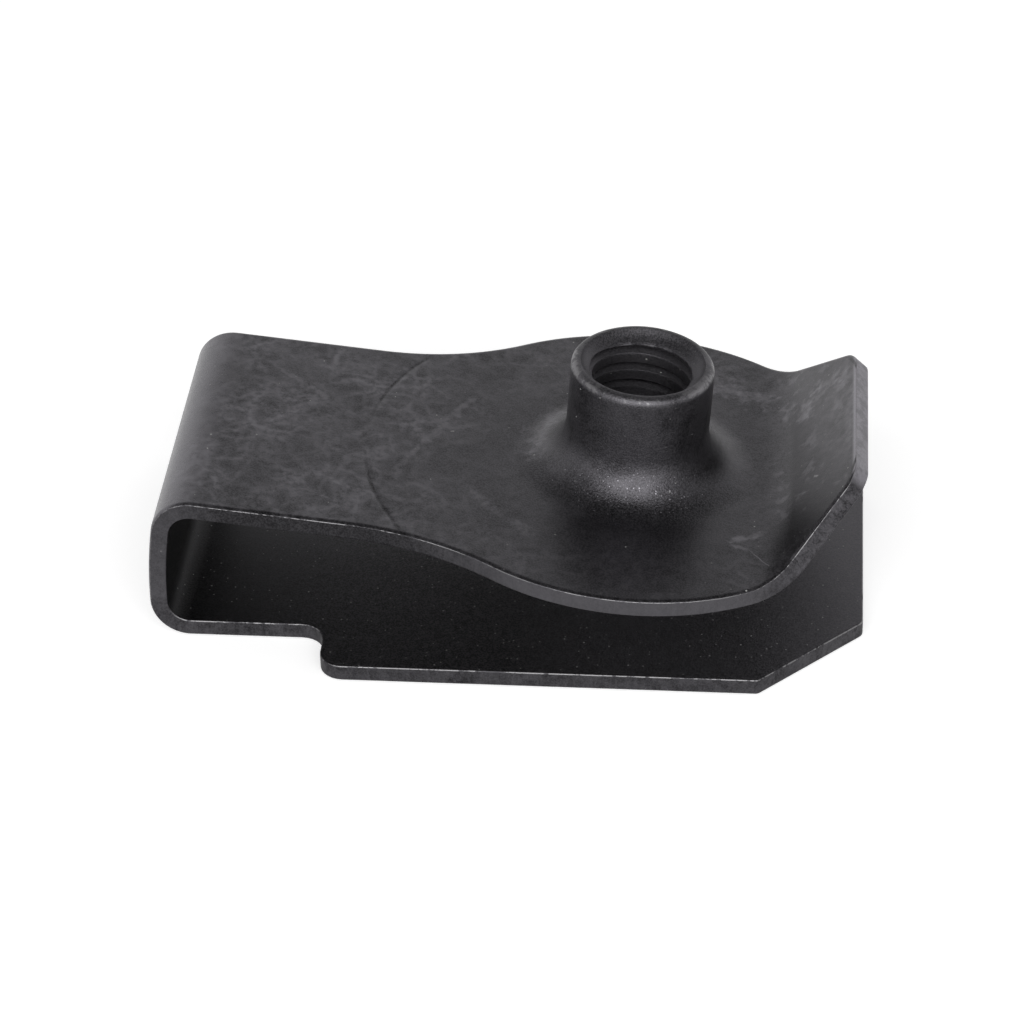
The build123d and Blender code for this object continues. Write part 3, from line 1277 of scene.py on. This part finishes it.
    def wire_the_shader(self):
        """Colour, roughness, metal and bump, into the shader."""
        wiring, look = self.wiring, self.look
        rough, spread = look["rough"], look["rough_spread"]
        rough = wiring.ramp(self.grain["Grain"], 0.0, 1.0, rough - spread, rough + spread)
        rough = wiring.plus(rough, wiring.times(self.on_collar, look["collar_rough"]))
        rough = wiring.math("SUBTRACT", rough, wiring.times(self.bend, look["bend_gloss"]))
        rough = wiring.plus(rough, wiring.times(self.veins, look["vein_rough"]))
        rough = wiring.plus(rough, wiring.times(self.inner, look["inner_rough"]))
        rough = wiring.blend(self.bare, rough, look["bare_rough"])
        rough = wiring.blend(self.specks, rough, look["dust_rough"])
        metal = wiring.blend(self.inner, look["metal"], look["inner_metal"])
        metal = wiring.blend(self.specks, wiring.blend(self.bare, metal, 1.0), 0.0)
        bump = wiring.node("ShaderNodeBump", {"Height": self.grain["Height"], "Distance": mm})
        shader = wiring.tree.nodes["Principled BSDF"]
        for label, value in (
            ("Base Color", self.colour),
            ("Roughness", rough),
            ("Metallic", metal),
            ("Normal", bump.outputs["Normal"]),
        ):
            wiring.tree.links.new(value, shader.inputs[label])


# ---------------------------------------------------------------- the three finishes
def toned(look):
    """The look with the greys of its marks, worked out from its dark and light: blotches,
    painted shade on the lip, in the crease and on the far rim, scuffs with a painted highlight
    among them, and the lighter head edge.
    """
    return {
        **look,
        "blotch": look["dark"] * 0.4,
        # Painted shade: on the lip, in the crease and on the far side of the rim
        "lip": look["dark"] * 0.8,
        "crease": look["dark"] * 0.3,
        "far_rim": look["dark"] * 0.3,
        # Scuffs, and with them a painted highlight beside the collar's foot
        "scuff": look["light"] * 1.4,
        "head_edge": look["light"] * 1.5,
    }


FACE = {
    "face": True,
    "dark": 0.034,
    "mid": 0.066,
    "light": 0.2,
    "end": 0.3,
    "spread": 0.48,
    "calm": 0.65,
    "blotches": 0.6,
    "veins": 0.8,
    "vein_spacing": 1.9,
    "vein_width": 0.42,
    "breaks": 0.8,
    # Grey of the painted light on the collar's side
    "collar": 0.145,
    # Painted shade inside the clip: how much of it is laid, its greys near the leaf's free end and
    # deeper in, and under the neck
    "inner_cover": 0.95,
    "mouth": 0.1,
    "inside": 0.034,
    "under": 0.012,
    "pepper": 0.24,
    "mouth_pepper": 0.32,
    "fold_pepper": 0.1,
    "drawn_pepper": 1.1,
    "speck": 0.2,
    # Painted glints on the collar's foot: their grey, spacing, size and share
    "spark": 0.3,
    "spark_spacing": 0.1,
    "spark_size": 0.036,
    "spark_share": 0.5,
    "metal": 0.91,
    "inner_metal": 0.97,
    "rough": 0.33,
    "rough_spread": 0.05,
    "collar_rough": 0.08,
    "bend_gloss": 0.04,
    "vein_rough": 0.1,
    "inner_rough": 0.1,
    "bare_rough": 0.36,
    "dust_rough": 0.9,
    "grain_size": 0.085,
    "grain_depth": 0.006,
    "drawn_grain": 3.2,
    "wave_depth": 0.006,
    "dust_outside": 0.05,
    "dust_inside": 0.3,
    "dust_spacing": 0.25,
    "dust_size": 0.045,
}
EDGE = {
    **FACE,
    "face": False,
    "dark": 0.023,
    "mid": 0.038,
    "light": 0.11,
    "veins": 0.3,
    "pepper": 0.2,
    "rough": 0.45,
    "dust_outside": 0.01,
}
THREAD = {
    **FACE,
    "face": False,
    "dark": 0.058,
    "mid": 0.085,
    "light": 0.065,
    "veins": 0.2,
    "breaks": 0.9,
    # Grey of the painted light over the bore
    "collar": 0.085,
    "collar_rough": 0.0,
    "rough": 0.5,
    "dust_outside": 0.1,
}

# In the order of PLAIN, SHEARED and TAPPED
for finish, look in (
    ("phosphated_face", FACE),
    ("sheared_edge", EDGE),
    ("tapped_thread", THREAD),
):
    clip_body.data.materials.append(PhosphatedSteel(finish, toned(look)).material)

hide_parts("u_clip")
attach(clip_body, "root")


# ================================================================ floor and light
floor_half = 1.5
floor_drop = 0.02 * mm  # clear of the clip's underside
floor_grey = 0.75
floor_white_seen = 0.55  # added where the camera sees the floor
floor_white_mirrored = 0.4  # added where the steel mirrors it
mirrored_near = 0.4  # level of the mirrored floor in front of the clip
mirrored_rise = (-35 * mm, 12 * mm)  # in y, from that level to full


def pale_floor():
    """Pale plain floor, dimmer towards the front where the steel mirrors it."""
    mesh = bpy.data.meshes.new("floor")
    corners = [(-1, -1), (1, -1), (1, 1), (-1, 1)]
    points = [(x * floor_half, y * floor_half, -floor_drop) for x, y in corners]
    mesh.from_pydata(points, [], [(0, 1, 2, 3)])
    floor = bpy.data.objects.new("floor", mesh)
    bpy.context.scene.collection.objects.link(floor)
    material = bpy.data.materials.new("pale_floor")
    material.use_nodes = True
    material.node_tree.nodes.clear()
    wiring = Wiring(material.node_tree)
    y = wiring.split(wiring.node("ShaderNodeTexCoord").outputs["Object"])[1]
    path = wiring.node("ShaderNodeLightPath").outputs
    mirrored = path["Is Glossy Ray"]
    level = wiring.blend(mirrored, 1.0, wiring.ramp(y, *mirrored_rise, mirrored_near, 1.0))
    glow = wiring.times(mirrored, wiring.times(level, floor_white_mirrored))
    glow = wiring.plus(glow, wiring.times(path["Is Camera Ray"], floor_white_seen))
    matt_level = wiring.times(level, floor_grey)
    matt_grey = wiring.node("ShaderNodeCombineColor", {channel: matt_level for channel in range(3)})
    matt = wiring.node("ShaderNodeBsdfDiffuse", {"Color": matt_grey.outputs[0]})
    white = wiring.node("ShaderNodeEmission", {"Strength": glow})
    both = wiring.node("ShaderNodeAddShader", {0: matt.outputs[0], 1: white.outputs[0]})
    wiring.node("ShaderNodeOutputMaterial", {"Surface": both.outputs[0]})
    mesh.materials.append(material)
    return floor


pale_floor()


def softbox(name, azimuth, elevation, distance, width, height, power):
    """Lamp that faces the clip. Azimuth 0 is the near side, towards -Y."""
    around = math.radians(azimuth)
    up = math.radians(elevation)
    aim = Vector((0, 0, fold_height / 2))
    away = Vector((
        math.sin(around) * math.cos(up),
        -math.cos(around) * math.cos(up),
        math.sin(up),
    ))
    lamp = bpy.data.lights.new(name, "AREA")
    lamp.shape = "RECTANGLE"
    lamp.size = width
    lamp.size_y = height
    lamp.energy = power
    lamp_object = bpy.data.objects.new(name, lamp)
    lamp_object.location = aim + away * distance
    lamp_object.rotation_euler = away.to_track_quat("Z", "Y").to_euler()
    bpy.context.scene.collection.objects.link(lamp_object)


softbox(
    "front_softbox",
    azimuth=3,
    elevation=35,
    distance=0.5,
    width=0.66,
    height=0.46,
    power=2.1,
)

# Brightness of the studio by elevation in degrees: walls first, then the ceiling
STUDIO_LEVELS = ((0, 0.95), (30, 0.85), (50, 0.22), (70, 0.05))


def studio_world():
    """Bright walls and a dim ceiling, with plain white where the camera sees past them."""
    world = bpy.data.worlds.new("studio")
    bpy.context.scene.world = world
    world.use_nodes = True
    world.node_tree.nodes.clear()
    wiring = Wiring(world.node_tree)
    rise = wiring.split(wiring.node("ShaderNodeTexCoord").outputs["Generated"])["Z"]
    levels = wiring.node("ShaderNodeValToRGB", {"Fac": rise})
    levels.color_ramp.interpolation = "EASE"
    stops = levels.color_ramp.elements
    while len(stops) > 1:
        stops.remove(stops[-1])
    for index, (elevation, level) in enumerate(STUDIO_LEVELS):
        position = math.sin(math.radians(elevation))
        stop = stops.new(position) if index else stops[0]
        stop.position = position
        stop.color = (level, level, level, 1)
    lit = wiring.node("ShaderNodeBackground", {"Color": levels.outputs["Color"]})
    seen = wiring.node("ShaderNodeBackground", {"Color": (1, 1, 1, 1), "Strength": 1.0})
    seen_by_camera = wiring.node("ShaderNodeLightPath").outputs["Is Camera Ray"]
    studio = {0: seen_by_camera, 1: lit.outputs[0], 2: seen.outputs[0]}
    shown = wiring.node("ShaderNodeMixShader", studio)
    wiring.node("ShaderNodeOutputWorld", {"Surface": shown.outputs[0]})


studio_world()

# ================================================================ camera
camera_azimuth = math.radians(5.307)
camera_elevation = math.radians(34.672)
camera_roll = math.radians(-1.255)
camera_aim = Vector((-0.341 * mm, 0, 2.665 * mm))
camera_distance = 186.03 * mm
camera_lens = 127.76
camera_sensor = 36


def studio_camera():
    """Long lens from the near side, looking down on the collar and the mouth."""
    forward = Vector((
        -math.sin(camera_azimuth) * math.cos(camera_elevation),
        math.cos(camera_azimuth) * math.cos(camera_elevation),
        -math.sin(camera_elevation),
    ))
    level = Vector((math.cos(camera_azimuth), math.sin(camera_azimuth), 0))
    upright = level.cross(forward)
    right = level * math.cos(camera_roll) + upright * math.sin(camera_roll)
    up = upright * math.cos(camera_roll) - level * math.sin(camera_roll)
    camera = bpy.data.cameras.new("camera")
    camera.lens = camera_lens
    camera.sensor_width = camera_sensor
    camera.clip_start = 1 * mm
    holder = bpy.data.objects.new("camera", camera)
    turn = Matrix((right, up, -forward)).transposed().to_4x4()
    holder.matrix_world = Matrix.Translation(camera_aim - forward * camera_distance) @ turn
    bpy.context.scene.collection.objects.link(holder)
    bpy.context.scene.camera = holder


studio_camera()
bpy.context.scene.view_settings.view_transform = "Standard"
